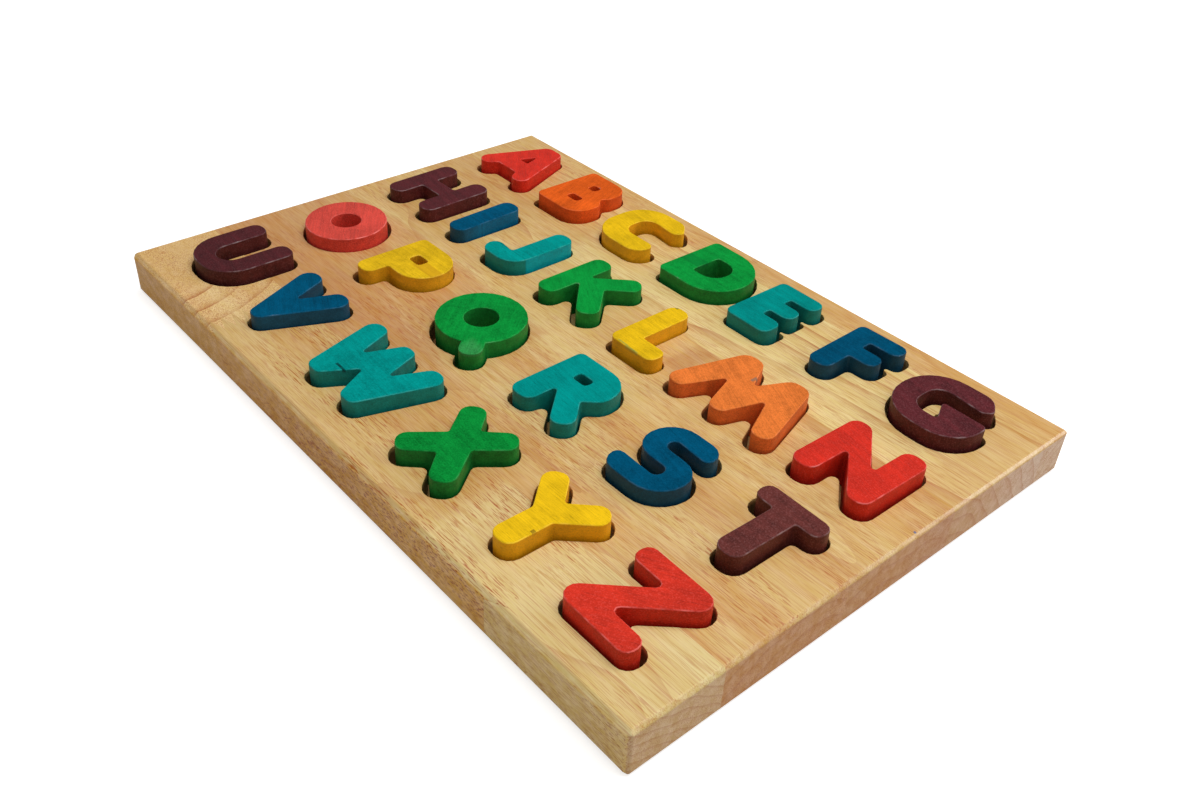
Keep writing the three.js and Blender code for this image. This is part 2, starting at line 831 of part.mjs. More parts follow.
const back = BOARD_WIDTH / 2;
const front = -BOARD_WIDTH / 2;
const firstGlueLine = back - BACK_STAVE_WIDTH;
const secondGlueLine = firstGlueLine - STAVE_WIDTH;
const thirdGlueLine = secondGlueLine - STAVE_WIDTH;
const lastGlueLine = thirdGlueLine - STAVE_WIDTH;
const allPockets = pockets.reduce((whole, pocket) => whole.add(pocket));
const routed = boardBlank().subtract(allPockets);
const frontStave = staveBetween(routed, front, lastGlueLine);
const rightOfLeftJoint = rightOfFingers(LEFT_JOINT_X, -1, front, lastGlueLine);
const rightOfRightJoint = rightOfFingers(RIGHT_JOINT_X, 1, front, lastGlueLine);

const staves = [
  ["stave_1_back", staveBetween(routed, firstGlueLine, back), WARM_WOOD],
  ["stave_2", staveBetween(routed, secondGlueLine, firstGlueLine), PALE_WOOD],
  ["stave_3", staveBetween(routed, thirdGlueLine, secondGlueLine), PALE_WOOD],
  ["stave_4", staveBetween(routed, lastGlueLine, thirdGlueLine), WARM_WOOD],
  ["stave_5_front_left", frontStave.subtract(rightOfLeftJoint), PALE_WOOD],
  ["stave_5_front_middle", frontStave.intersect(rightOfLeftJoint).subtract(rightOfRightJoint), WARM_WOOD],
  ["stave_5_front_right", frontStave.intersect(rightOfRightJoint), PALE_WOOD],
];
for (const [name, solid, color] of staves) {
  addMesh(board, name, geometryOf(solid), color, 0.45);
}

export default puzzle;
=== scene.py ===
import json
import math
from collections import namedtuple
from functools import reduce

import bmesh
import bpy
from mathutils import Matrix, Vector


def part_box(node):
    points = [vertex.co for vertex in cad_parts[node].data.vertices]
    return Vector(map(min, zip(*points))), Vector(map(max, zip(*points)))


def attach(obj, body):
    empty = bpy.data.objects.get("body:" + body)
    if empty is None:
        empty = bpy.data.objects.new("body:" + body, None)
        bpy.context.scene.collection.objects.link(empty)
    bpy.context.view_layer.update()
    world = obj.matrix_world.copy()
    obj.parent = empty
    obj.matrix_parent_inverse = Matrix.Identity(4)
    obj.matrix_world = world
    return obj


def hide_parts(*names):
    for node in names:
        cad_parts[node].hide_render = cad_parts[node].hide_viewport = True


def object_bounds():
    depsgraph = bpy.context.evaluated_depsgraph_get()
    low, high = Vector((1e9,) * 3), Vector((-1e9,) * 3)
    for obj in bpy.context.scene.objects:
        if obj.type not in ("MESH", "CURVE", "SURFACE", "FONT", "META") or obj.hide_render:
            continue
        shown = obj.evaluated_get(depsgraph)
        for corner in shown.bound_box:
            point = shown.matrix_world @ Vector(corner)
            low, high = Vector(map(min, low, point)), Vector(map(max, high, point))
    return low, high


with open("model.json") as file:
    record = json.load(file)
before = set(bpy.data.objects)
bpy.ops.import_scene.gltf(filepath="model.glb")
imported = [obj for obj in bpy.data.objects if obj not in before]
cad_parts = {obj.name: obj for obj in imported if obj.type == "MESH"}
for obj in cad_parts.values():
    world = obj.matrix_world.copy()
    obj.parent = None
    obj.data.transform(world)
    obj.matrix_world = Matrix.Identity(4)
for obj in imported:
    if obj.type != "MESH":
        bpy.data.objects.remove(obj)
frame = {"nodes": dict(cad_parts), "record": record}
CAD_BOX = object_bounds()

bl_info = {
    "name": "Capital letter puzzle",
    "version": (1, 0, 0),
    "blender": (4, 5, 0),
    "location": "3D View > Sidebar > Puzzle",
    "description": "Lacquered board, stained letters and a plain studio for a wooden letter puzzle",
    "category": "Object",
}

MM = 0.001

# Levels and outer faces of the puzzle in millimetres, as the materials read them
BOARD_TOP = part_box("stave_3")[1].z / MM
POCKET_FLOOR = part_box("letter_I")[0].z / MM
LETTER_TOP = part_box("letter_I")[1].z / MM
END = CAD_BOX[1].x / MM
SIDE = CAD_BOX[1].y / MM
FRONT = CAD_BOX[0].y / MM


def shade(code):
    """A colour written as six hexadecimal sRGB digits, in the linear values that shaders use."""
    parts = [int(code[i:i + 2], 16) / 255 for i in (0, 2, 4)]
    return tuple(v / 12.92 if v <= 0.04045 else ((v + 0.055) / 1.055) ** 2.4 for v in parts)


# A soft patch of another colour: its middle, half size and the reach of its border seen from above in
# millimetres, its colour and its share
Patch = namedtuple("Patch", "middle half border colour share")

# How far the tint of an outer face reaches into the board, and its border
TINT_DEPTH = 0.9
TINT_BORDER = 0.5


def end_tint(middle, half, border, colour, share):
    """A tint of the board's right end, placed along Y."""
    return Patch((END, middle), (TINT_DEPTH, half), (TINT_BORDER, border), colour, share)


def front_shade_tint(middle, half, border, colour, share):
    """A tint of the board's front face, placed along X: it paints in the warm tone that this face, turned
    from the lamps, takes in its shade.
    """
    return Patch((middle, FRONT), (half, TINT_DEPTH), (border, TINT_BORDER), colour, share)


# The heart line that growth rings run round: a point in millimetres, a direction and the ring spacing
Rings = namedtuple("Rings", "heart run pitch")

# Each length of wood: its colours, rings, the strength of the ring lines and of the pores, its place in the
# noise, then patches of another colour on its top, the tints of its outer faces, which on the front face
# paint in the warm tone of its shade, and specks on its lacquer
Stave = namedtuple("Stave", "pale deep rings lines pores seed patches faces specks", defaults=((),))
STAVES = {
    "stave_1_back": Stave(
        "e2c584", "cf9e60", Rings((0, 160, -40), (1, 0.02, 0.01), 5.0), lines=0.45, pores=0.5, seed=3,
        patches=[],
        faces=[end_tint(130, 20, 1, "dcc0a6", 0.75)]),
    "stave_2": Stave(
        "ebd696", "e0bf7e", Rings((0, 40, -25), (1, 0.03, 0.03), 9.0), lines=0.85, pores=0.3, seed=11,
        patches=[Patch((-150, 66), (70, 10), (14, 14), "cd9f60", 0.5),
                 Patch((-170, 100), (40, 30), (30, 30), "d2a668", 0.5),
                 Patch((200, 85), (8, 40), (16, 16), "cfa468", 0.5)],
        faces=[end_tint(95, 50, 1, "cd9f7a", 0.75),
               end_tint(125, 6, 55, "e0c8b0", 0.75)]),
    "stave_3": Stave(
        "e6ce90", "d8ac6a", Rings((0, 20, -75), (1, -0.03, 0.02), 9.0), lines=0.4, pores=0.42, seed=23,
        patches=[Patch((-110, -15), (100, 5), (8, 8), "c98f58", 0.55),
                 Patch((140, 44), (80, 3), (8, 8), "c08a50", 0.55),
                 Patch((56, 36), (4, 11), (5, 5), "b5774a", 0.4)],
        faces=[end_tint(14, 40, 1, "c8905f", 0.8),
               end_tint(50, 4, 40, "cd9f7a", 0.6)],
        specks=[Patch((208.0, 22.6), (0.4, 0.4), (0.3, 0.3), "2f6f9c", 0.9)]),
    "stave_4": Stave(
        "e3c98b", "d09d5f", Rings((0, -60, -50), (1, 0.04, -0.04), 8.0), lines=0.4, pores=0.58, seed=37,
        patches=[Patch((-140, -55), (85, 36), (40, 40), "c88e5a", 0.55)],
        faces=[end_tint(-58, 40, 1, "cf9866", 0.8)]),
    "stave_5_front_left": Stave(
        "f4daa0", "e4b878", Rings((-188, -143, 25), (0.05, 0.1, 1), 14.0), lines=0.9, pores=0.6, seed=41,
        patches=[Patch((-205, -120), (40, 60), (16, 16), "e4be7e", 0.95)],
        faces=[front_shade_tint(-160, 60, 1, "e6ae56", 0.75)]),
    "stave_5_front_middle": Stave(
        "dfc385", "cf9e60", Rings((0, -128, -40), (1, -0.03, 0.02), 7.0), lines=0.35, pores=0.75, seed=53,
        patches=[Patch((112, -120), (28, 60), (14, 14), "e4cb8e", 0.85)],
        faces=[front_shade_tint(10, 130, 1, "e2a858", 0.85),
               front_shade_tint(90, 35, 35, "f2c070", 0.5)]),
    "stave_5_front_right": Stave(
        "e8d89e", "dbbc7a", Rings((150, -185, -90), (1, 0.02, 0.01), 4.5), lines=0.3, pores=0.35, seed=67,
        patches=[Patch((124, -120), (16, 60), (14, 14), "e4cb8e", 0.85)],
        faces=[front_shade_tint(165, 45, 1, "efca84", 0.85),
               end_tint(-120, 30, 1, "dab688", 0.85)]),
}

# Each letter: how dark its stain took, how far it has faded, the way its grain runs in degrees and how
# mottled it is
LETTERS = {
    "A": (1.09, 0.0, 35, 1.4), "B": (1.06, 0.0, 70, 1.3), "C": (1.0, 0.0, 10, 0.9),
    "D": (1.0, 0.0, 2, 2.0), "E": (0.93, 0.0, 0, 1.2), "F": (0.9, 0.0, 5, 1.6),
    "G": (0.95, 0.0, 12, 2.6), "H": (0.9, 0.0, 8, 2.6), "I": (1.1, 0.0, 0, 1.6),
    "J": (1.08, 0.0, 0, 1.2), "K": (1.04, 0.0, 30, 1.6), "L": (1.0, 0.0, 2, 0.9),
    "M": (1.05, 0.16, 25, 1.3), "N": (0.99, 0.0, 12, 1.2), "O": (1.1, 0.0, 35, 1.4),
    "P": (0.97, 0.02, -3, 1.0), "Q": (0.98, 0.0, 50, 2.0), "R": (1.06, 0.0, 4, 1.2),
    "S": (1.0, 0.0, 10, 1.6), "T": (1.05, 0.02, 0, 2.4), "U": (0.75, 0.0, 3, 2.6),
    "V": (1.05, 0.0, 25, 1.6), "W": (1.06, 0.0, 4, 1.4), "X": (0.88, 0.0, 3, 2.2),
    "Y": (1.1, 0.0, 0, 0.6), "Z": (1.04, 0.01, -30, 1.2),
}

# Stains that dried with a little sheen, where the others are nearly matt; the sheen also sets how strong
# their painted sheen specks and painted edge highlights are
SHEEN = {"red": 0.1, "coral": 0.1, "maroon": 0.1}
MATT = 0.01

# Marks of use on the tops of some letters
MARKS = {
    "D": [Patch((-8.0, 100.0), (9.0, 3.8), (3.0, 0.8), "0a5c2c", 0.4)],
    "L": [Patch((32.5, 11.1), (2.5, 0.15), (2.0, 0.5), "3f8f5c", 0.5),
          Patch((39.5, 10.5), (3.0, 0.15), (2.5, 0.5), "3f8f5c", 0.5),
          Patch((25.5, 55.6), (0.7, 0.4), (0.5, 0.5), "3c5a1c", 0.7)],
    "M": [Patch((95.6, 41.0), (0.7, 1.8), (0.6, 0.6), "86705f", 0.8)],
    "P": [Patch((-86.0, -27.4), (8.0, 3.4), (4.0, 0.7), "c4881c", 0.5)],
    "Q": [Patch((-9.0, -54.5), (3.0, 3.0), (6.0, 6.0), "7fb98c", 0.15)],
    "W": [Patch((-31.5, -112.9), (5.0, 0.4), (1.5, 0.6), "0a2c2a", 0.9)],
    "Y": [Patch((114.4, -111.0), (0.6, 0.8), (0.5, 0.5), "80601a", 0.8),
          Patch((98.6, -99.4), (0.9, 0.5), (0.5, 0.5), "6c5010", 0.75)],
}

# Letters glued up from two lengths: the seam's place along Y and the reach of the change of tone before it,
# both in millimetres, and the lighter colour given to the sides beyond it
Seam = namedtuple("Seam", "place reach colour")
SEAMS = {
    "I": Seam(27.9, 16.0, "006188"),
    "J": Seam(22.6, 0.4, "009da8"),
}

# Noise in the wood: cells in a millimetre along and across the grain, the cells added along it in a length
# whose heart line stands upright, detail, roughness and its own place in the noise
Grain = namedtuple("Grain", "along across upright detail roughness shift")
DRIFT = Grain(0.006, 0.018, 0.0, 2.0, 0.5, 0)
RING_FADE = Grain(0.008, 0.03, 0.0, 2.0, 0.5, 1)
TONE = Grain(0.004, 0.045, 0.0, 3.0, 0.5, 2)
FIBRE = Grain(0.07, 2.0, 0.5, 4.0, 0.65, 3)
STREAK = Grain(0.025, 0.28, 0.1, 3.0, 0.5, 4)
PORE = Grain(0.13, 2.0, 1.2, 1.0, 0.5, 5)
CROWD = Grain(0.014, 0.05, 0.0, 2.0, 0.5, 6)
HAIR = Grain(0.055, 2.2, 1.0, 2.0, 0.5, 7)
RIPPLE = Grain(0.09, 0.6, 0.3, 2.0, 0.5, 8)
FACE_MOTTLE = Grain(0.12, 0.25, 0.0, 5.0, 0.6, 9)

# Noise in the stained letters, and how many kinds of it each letter uses
STAIN_FIBRE = Grain(0.06, 1.6, 0.0, 3.0, 0.6, 0)
STAIN_STREAK = Grain(0.02, 0.3, 0.0, 3.0, 0.5, 1)
STAIN_CLOUD = Grain(0.07, 0.07, 0.0, 3.0, 0.5, 2)
STAIN_PORE = Grain(0.2, 2.4, 0.0, 1.0, 0.5, 3)
STAIN_PATCHINESS = Grain(0.16, 0.16, 0.0, 4.0, 0.5, 4)
STAIN_SPECKLE = Grain(1.5, 1.5, 0.0, 2.0, 0.5, 5)
STAIN_BLOTCH = Grain(0.3, 0.3, 0.0, 3.0, 0.5, 6)
STAIN_KINDS = 7

# The step from one place in the noise to the next, its middle and the ranges that most of its values lie in
NOISE_STEP = (13.7, 5.3, 9.1)
NOISE_MIDDLE = (0.5, 0.5, 0.5)
USUAL = (0.3, 0.7)
WIDE = (0.25, 0.75)

# Growth rings: how far they wander in millimetres, and their sharp line and slow darkening
WANDER = (8.0, 24.0, 24.0)
WANDER_UPRIGHT = (8.0, 8.0, 8.0)
RING_LINE = 7.0
RING_TONE = 2.0
RING_TONE_SHARE = 0.25

# Outer faces of the board: the width of the broken edge, its border and where the faces start below the top
# in millimetres, the shortening of their grain and the strength of their pores, the depth and share of the
# rings on the sawn end, and the depths between which the lacquer on the broken edge thickens
EDGE_BREAK = 1.8
EDGE_BORDER = 0.6
FACE_START = (1.6, 2.6)
FACE_GRAIN = 3.5
FACE_PORES = 1.6
SAWN_DEPTH = (1.2, 0.6)
SAWN_RINGS = 0.5
GLOSS_START = (2.0, 1.0)

# Pockets in millimetres: how near the outside they may lie, where their painted shade starts and is full
# below the top, how far it reaches under the floors, and the skin of the floors with its share of that shade
POCKET_MARGIN = 4.0
POCKET_BORDER = 0.5
POCKET_SHADE = (0.4, 3.5)
UNDER_FLOOR = (1.0, 0.5)
FLOOR_SKIN = (0.05, 0.4)
FLOOR_SHARE = 0.45

# What the noise does to the wood
FADE_VALUES = (0.38, 0.62)
FADE_SHARE = (0.3, 1.0)
TONE_VALUES = (0.36, 0.64)
TONE_SHARE = (0.25, 0.75)
PORE_VALUES = (0.56, 0.63)
PORE_SHARE = 1.25
HAIR_VALUES = (0.51, 0.64)
HAIR_SHARE = 0.42
CROWD_VALUES = (0.36, 0.6)
CROWD_SHARE = (0.15, 1.0)
STREAK_LIGHT = (0.98, 1.03)
FIBRE_LIGHT = (-0.02, 0.05)
RIPPLE_LIGHT = (-0.018, 0.018)
FACE_LIGHT = (-0.08, 0.07)
RICH_VALUES = (0.88, 1.12)
RICHNESS = (1.18, 0.94)
WOOD_ROUGHNESS = (0.38, 0.52)
WOOD_RELIEF = 0.5
WOOD_BUMP = 0.1
WOOD_SHINE = 0.35

# What the noise does to the stain, for each unit of mottling where a letter is mottled
RUB_AND_HIGHLIGHT_VALUES = (0.4, 0.66)
RUB_AND_HIGHLIGHT_SHARE = (0.1, 0.8)
NICK_VALUES = (0.67, 0.74)
STAIN_PORE_VALUES = (0.60, 0.72)
STAIN_PORE_DARK = 0.2
CLOUD_LIGHT = (0.88, 1.1)
STAIN_FIBRE_LIGHT = (-0.11, 0.11)
STAIN_STREAK_LIGHT = (-0.05, 0.05)
SPECKLE_LIGHT = (-0.09, 0.11)
BLOTCH_LIGHT = (-0.04, 0.04)
SHEEN_SPECK_VALUES = (0.52, 0.7)
SHEEN_SPECK_SHARE = 1.6
MARK_VALUES = (0.2, 0.5)
STAIN_ROUGHNESS = (0.44, 0.58)
STAIN_RELIEF = 0.6
STAIN_BUMP = 0.2
SIDE_SHINE = 0.14

# Colours made from a stain, as a share of it and an addition to it: its sides in painted shade, its painted
# sheen specks, its rubbed edges with their painted highlight and its nicks, and the share of it in a seam
SIDE_SHADE_SHARE = (0.95, 0.73, 0.71)
SIDE_SHADE_ADD = (0.007, 0.006, 0.002)
SHEEN_SPECKED = (0.85, 0.14)
RUBBED_AND_HIGHLIT = (1.2, 0.03)
EDGE_HIGHLIGHT_SHEEN = 1.2
NICKED = (0.7, 0.12)
SEAM_SHARE = 0.3

# In millimetres: how far marks reach below the letters' tops, and the half size and border of a seam's line,
# which runs across the whole letter
MARK_DEPTH = (2.4, 1.0)
SEAM_HALF = (300, 0.1)
SEAM_BORDER = (1, 0.5)
SEAM_STRENGTH = 0.4

# Surface of every material
BUMP_DISTANCE = 0.2 * MM
COAT_ROUGHNESS = 0.3

# Edge work: distances that count as none, bands along the outside, angles between faces, the slopes of
# chamfers, sides and worn edges with their painted highlight as the upright part of their normals, and the
# facets of each rounding
MERGE = 0.001 * MM
LEVEL = 0.01 * MM
UNDER_POCKETS = 0.1 * MM
OUTER_BAND = 3 * MM
CORNER_BAND = 5 * MM
FLAT_ANGLE = math.radians(0.4)
CORNER_ANGLE = math.radians(20)
SMOOTH_ANGLE = math.radians(34)
RIM_ANGLE = math.radians(60)
CHAMFER_SLOPES = (0.3, 0.95)
SIDE_SLOPES = (-1.0, 0.1)
WORN_AND_HIGHLIT_SLOPES = (0.1, 0.97)
OUTER_SEGMENTS = 3
RIM_SEGMENTS = 2
CORNER_SEGMENTS = 3
LETTER_SEGMENTS = 2

# Stage in metres: the floor and its glow, which rises away from the puzzle, the lamps and the camera's axes
FLOOR_SIZE = 8.0
FLOOR_DROP = 0.2 * MM
FLOOR_GREY = (0.65, 0.65, 0.65, 1)
FLOOR_REACH = (0.5, 1.6)
FLOOR_GLOW = (0.7, 1.0)
WHITE = (1, 1, 1, 1)
TOP_LAMP_SIZE = 1.0
TOP_LAMP_PLACE = Vector((0.25, 0.2, 1.35))
BACK_LAMP_SIZE = 0.5
BACK_LAMP_PLACE = Vector((0.7, 0.9, 0.4))
SENSOR_WIDTH = 36.0
CAMERA_RIGHT = Vector((0.65157, 0.75714, 0.04694))
CAMERA_AHEAD = Vector((-0.59099, 0.54543, -0.59434))


class BoardLook(bpy.types.PropertyGroup):
    """Settings of the board"""
    rim_round: bpy.props.FloatProperty(
        name="Rim round", description="Rounding of the pocket rims", default=0.35 * MM, unit="LENGTH")
    outer_round: bpy.props.FloatProperty(
        name="Outer round", description="Rounding of the outer chamfers", default=0.6 * MM, unit="LENGTH")
    corner_round: bpy.props.FloatProperty(
        name="Corner round", description="Rounding of the upright corners", default=0.9 * MM, unit="LENGTH")
    figure: bpy.props.FloatVectorProperty(
        name="Figure", description="Colour of the growth ring lines", subtype="COLOR", size=3,
        default=shade("b87a48"))
    pore: bpy.props.FloatVectorProperty(
        name="Pores", description="Colour of the open pores", subtype="COLOR", size=3,
        default=shade("b4683c"))
    # Painted shade in the pockets: its share on their walls, and its colour
    pocket_dark: bpy.props.FloatProperty(
        name="Pocket shade", description="Share of the pockets' colour on their walls", default=0.75,
        min=0, max=1, subtype="FACTOR")
    pocket: bpy.props.FloatVectorProperty(
        name="Pockets", description="Colour of the pockets' walls", subtype="COLOR", size=3,
        default=shade("4e3420"))
    gloss: bpy.props.FloatProperty(
        name="Lacquer", description="Weight of the clear satin lacquer", default=0.08,
        min=0, max=1, subtype="FACTOR")
    edge_gloss: bpy.props.FloatProperty(
        name="Edge lacquer", description="Weight of the lacquer along the top's outer edges", default=1.0,
        min=0, max=1, subtype="FACTOR")


class LetterLook(bpy.types.PropertyGroup):
    """Settings of the letters"""
    edge_round: bpy.props.FloatProperty(
        name="Edge round", description="Rounding of the broken edges", default=0.15 * MM, unit="LENGTH")
    bare: bpy.props.FloatVectorProperty(
        name="Bare wood", description="Wood under the stain", subtype="COLOR", size=3,
        default=shade("e9ca70"))
    red: bpy.props.FloatVectorProperty(
        name="Red", description="Red stain", subtype="COLOR", size=3, default=shade("d02a1a"))
    coral: bpy.props.FloatVectorProperty(
        name="Coral", description="Coral stain", subtype="COLOR", size=3, default=shade("d0463a"))
    orange: bpy.props.FloatVectorProperty(
        name="Orange", description="Orange stain", subtype="COLOR", size=3, default=shade("dc5c1c"))
    yellow: bpy.props.FloatVectorProperty(
        name="Yellow", description="Yellow stain", subtype="COLOR", size=3, default=shade("e4b817"))
    green: bpy.props.FloatVectorProperty(
        name="Green", description="Green stain", subtype="COLOR", size=3, default=shade("0a8e38"))
    teal: bpy.props.FloatVectorProperty(
        name="Teal", description="Teal stain", subtype="COLOR", size=3, default=shade("008c86"))
    blue: bpy.props.FloatVectorProperty(
        name="Blue", description="Blue stain", subtype="COLOR", size=3, default=shade("004d6d"))
    maroon: bpy.props.FloatVectorProperty(
        name="Maroon", description="Maroon stain", subtype="COLOR", size=3, default=shade("5a1e24"))


class StageLook(bpy.types.PropertyGroup):
    """Settings of the stage"""
    lens: bpy.props.FloatProperty(
        name="Lens", description="Focal length in millimetres", default=34.76, unit="CAMERA")
    eye: bpy.props.FloatVectorProperty(
        name="Eye", description="Place of the camera", size=3, subtype="TRANSLATION",
        default=(0.38589, -0.32868, 0.35798))
    top: bpy.props.FloatProperty(
        name="Top light", description="Power of the overhead lamp", default=13.0, unit="POWER")
    back: bpy.props.FloatProperty(
        name="Back light", description="Power of the low back lamp", default=2.8, unit="POWER")
    sky: bpy.props.FloatProperty(
        name="Sky", description="Strength of the even light from all round", default=0.35)


# Edge work

def pick_only(piece):
    """Makes one object the only selected and active one."""
    bpy.ops.object.select_all(action="DESELECT")
    piece.select_set(True)
    bpy.context.view_layer.objects.active = piece


def refined_copy(node_name, name):
    """A copy of a CAD node with its corners joined and its flat faces whole, ready for edge work."""
    node = frame["nodes"][node_name]
    piece = node.copy()
    piece.data = node.data.copy()
    piece.name = name
    piece.data.name = name
    piece.parent = None
    piece.matrix_world = Matrix.Identity(4)
    for key in list(piece.keys()):
        del piece[key]
    bpy.context.scene.collection.objects.link(piece)
    pick_only(piece)
    bpy.ops.object.mode_set(mode="EDIT")
    bpy.ops.mesh.select_all(action="SELECT")
    bpy.ops.mesh.remove_doubles(threshold=MERGE)
    bpy.ops.mesh.dissolve_limited(angle_limit=FLAT_ANGLE)
    bpy.ops.object.mode_set(mode="OBJECT")
    return piece


def round_edges(piece, wanted, width, segments):
    """Bevels the edges that a test picks."""
    bpy.ops.object.mode_set(mode="EDIT")
    bpy.ops.mesh.select_mode(type="EDGE")
    bpy.ops.mesh.select_all(action="DESELECT")
    mesh = bmesh.from_edit_mesh(piece.data)
    for edge in mesh.edges:
        edge.select_set(wanted(edge))
    bmesh.update_edit_mesh(piece.data)
    bpy.ops.mesh.bevel(offset=width, segments=segments, affect="EDGES", clamp_overlap=True)
    bpy.ops.object.mode_set(mode="OBJECT")


def smooth(piece):
    """Smooth shading that keeps broad faces flat."""
    pick_only(piece)
    bpy.ops.object.shade_smooth_by_angle(angle=SMOOTH_ANGLE)
    weighted = piece.modifiers.new("Flat faces", "WEIGHTED_NORMAL")
    weighted.keep_sharp = True
    bpy.ops.object.modifier_apply(modifier=weighted.name)


def is_chamfer(face):
    """A face that slopes as a broken edge does."""
    low, high = CHAMFER_SLOPES
    return low < abs(face.normal.z) < high


# Shader building

def put(tree, kind, sockets=None, **options):
    """Adds a node, sets its options and fills its sockets with values or links."""
    item = tree.nodes.new(kind)
    for key, value in options.items():
        setattr(item, key, value)
    for key, value in (sockets or {}).items():
        if isinstance(value, bpy.types.NodeSocket):
            tree.links.new(value, item.inputs[key])
        else:
            item.inputs[key].default_value = value
    return item


def calc(tree, operation, a, b=0.0):
    """Arithmetic on two values."""
    return put(tree, "ShaderNodeMath", {0: a, 1: b}, operation=operation).outputs[0]


def product(tree, *values):
    """All the values multiplied together."""
    return reduce(lambda a, b: calc(tree, "MULTIPLY", a, b), values)


def total(tree, *values):
    """All the values added together."""
    return reduce(lambda a, b: calc(tree, "ADD", a, b), values)


def vector(tree, operation, a, b=(0, 0, 0)):
    """Arithmetic on two vectors."""
    return put(tree, "ShaderNodeVectorMath", {0: a, 1: b}, operation=operation).outputs[0]


def length(tree, a):
    """The length of a vector."""
    return put(tree, "ShaderNodeVectorMath", {0: a}, operation="LENGTH").outputs["Value"]


def axes(tree, place):
    """The X, Y and Z of a place."""
    return put(tree, "ShaderNodeSeparateXYZ", {0: place}).outputs


def span(tree, value, values, results=(0.0, 1.0)):
    """A smooth step of a value from one range to another."""
    sockets = {
        "Value": value, "From Min": values[0], "From Max": values[1],
        "To Min": results[0], "To Max": results[1]}
    return put(tree, "ShaderNodeMapRange", sockets, interpolation_type="SMOOTHSTEP").outputs[0]


def between(tree, share, results):
    """A smooth step from one result to another as a share goes from nothing to one."""
    return span(tree, share, (0.0, 1.0), results)


def blend(tree, share, a, b):
    """A share of the second colour over the first."""
    return put(tree, "ShaderNodeMix", {0: share, 6: a, 7: b}, data_type="RGBA").outputs[2]


def noise(tree, place, grain, seed, upright=False):
    """The value and colour of noise on a grid of millimetres drawn out along the grain."""
    along = grain.along + grain.upright * upright
    location = [(seed + grain.shift) * step for step in NOISE_STEP]
    sockets = {"Vector": place, "Location": location, "Scale": (along, grain.across, grain.across)}
    grid = put(tree, "ShaderNodeMapping", sockets).outputs[0]
    sockets = {"Vector": grid, "Scale": 1.0, "Detail": grain.detail, "Roughness": grain.roughness}
    return put(tree, "ShaderNodeTexNoise", sockets).outputs


def rgba(colour):
    """A colour with the opacity that colour sockets ask for."""
    return (*colour[:3], 1.0)


def changed(colour, share, add):
    """A stain made deeper or paler."""
    return rgba([value * share + add for value in colour])


def area(tree, place, middle, half, border):
    """One inside a flat box seen from above, fading to nothing across its soft border."""
    away = vector(tree, "ABSOLUTE", vector(tree, "SUBTRACT", place, (*middle, 0)))
    away = vector(tree, "SUBTRACT", away, (*half, 0))
    away = axes(tree, vector(tree, "DIVIDE", away, (*border, 1)))
    return span(tree, calc(tree, "MAXIMUM", away["X"], away["Y"]), (1.0, 0.0))


def board_area(tree, place, margin, border):
    """One inside the board's outline less a margin."""
    return area(tree, place, (0, 0), (END - margin, SIDE - margin), (border, border))


def below_top(tree, height, depths, results=(0.0, 1.0)):
    """A smooth step between two depths below the board's top."""
    return span(tree, height, [BOARD_TOP - depth for depth in depths], results)


def add_patches(tree, colour, place, patches, within=1.0):
    """Lays patches over a colour."""
    for patch in patches:
        share = product(tree, area(tree, place, patch.middle, patch.half, patch.border), patch.share, within)
        colour = blend(tree, share, colour, rgba(shade(patch.colour)))
    return colour


def new_material(name):
    """An empty material, its node tree and its object coordinates in millimetres."""
    material = bpy.data.materials.new(name)
    material.use_nodes = True
    tree = material.node_tree
    tree.nodes.clear()
    place = put(tree, "ShaderNodeTexCoord").outputs["Object"]
    millimetres = put(tree, "ShaderNodeVectorMath", {0: place, "Scale": 1 / MM}, operation="SCALE").outputs[0]
    return material, tree, millimetres


def finish_material(tree, colour, roughness, relief, bump, coat, shine):
    """The surface that a material ends in."""
    sockets = {"Height": relief, "Strength": bump, "Distance": BUMP_DISTANCE}
    normal = put(tree, "ShaderNodeBump", sockets).outputs[0]
    surface = put(tree, "ShaderNodeBsdfPrincipled", {
        "Base Color": colour, "Roughness": roughness, "Normal": normal, "Specular IOR Level": shine,
        "Coat Weight": coat, "Coat Roughness": COAT_ROUGHNESS})
    output = put(tree, "ShaderNodeOutputMaterial")
    tree.links.new(surface.outputs[0], output.inputs[0])


def ring_lines(tree, place, rings):
    """Growth rings round a heart line, each darkening slowly up to a sharp line."""
    from_heart = vector(tree, "SUBTRACT", place, rings.heart)
    arm = vector(tree, "CROSS_PRODUCT", from_heart, Vector(rings.run).normalized())
    ring = calc(tree, "FRACT", calc(tree, "DIVIDE", length(tree, arm), rings.pitch))
    slow = product(tree, calc(tree, "POWER", ring, RING_TONE), RING_TONE_SHARE)
    return total(tree, calc(tree, "POWER", ring, RING_LINE), slow)


def pocket_shade(tree, mm, height, strength):
    """The share of the painted shade in the pockets, full on their walls and less on their floors."""
    inside = board_area(tree, mm, POCKET_MARGIN, POCKET_BORDER)
    deep = below_top(tree, height, POCKET_SHADE, (0.0, strength))
    wall = span(tree, height, [POCKET_FLOOR + skin for skin in FLOOR_SKIN], (FLOOR_SHARE, 1.0))
    above = span(tree, height, [POCKET_FLOOR - under for under in UNDER_FLOOR])
    return product(tree, inside, deep, product(tree, wall, above))


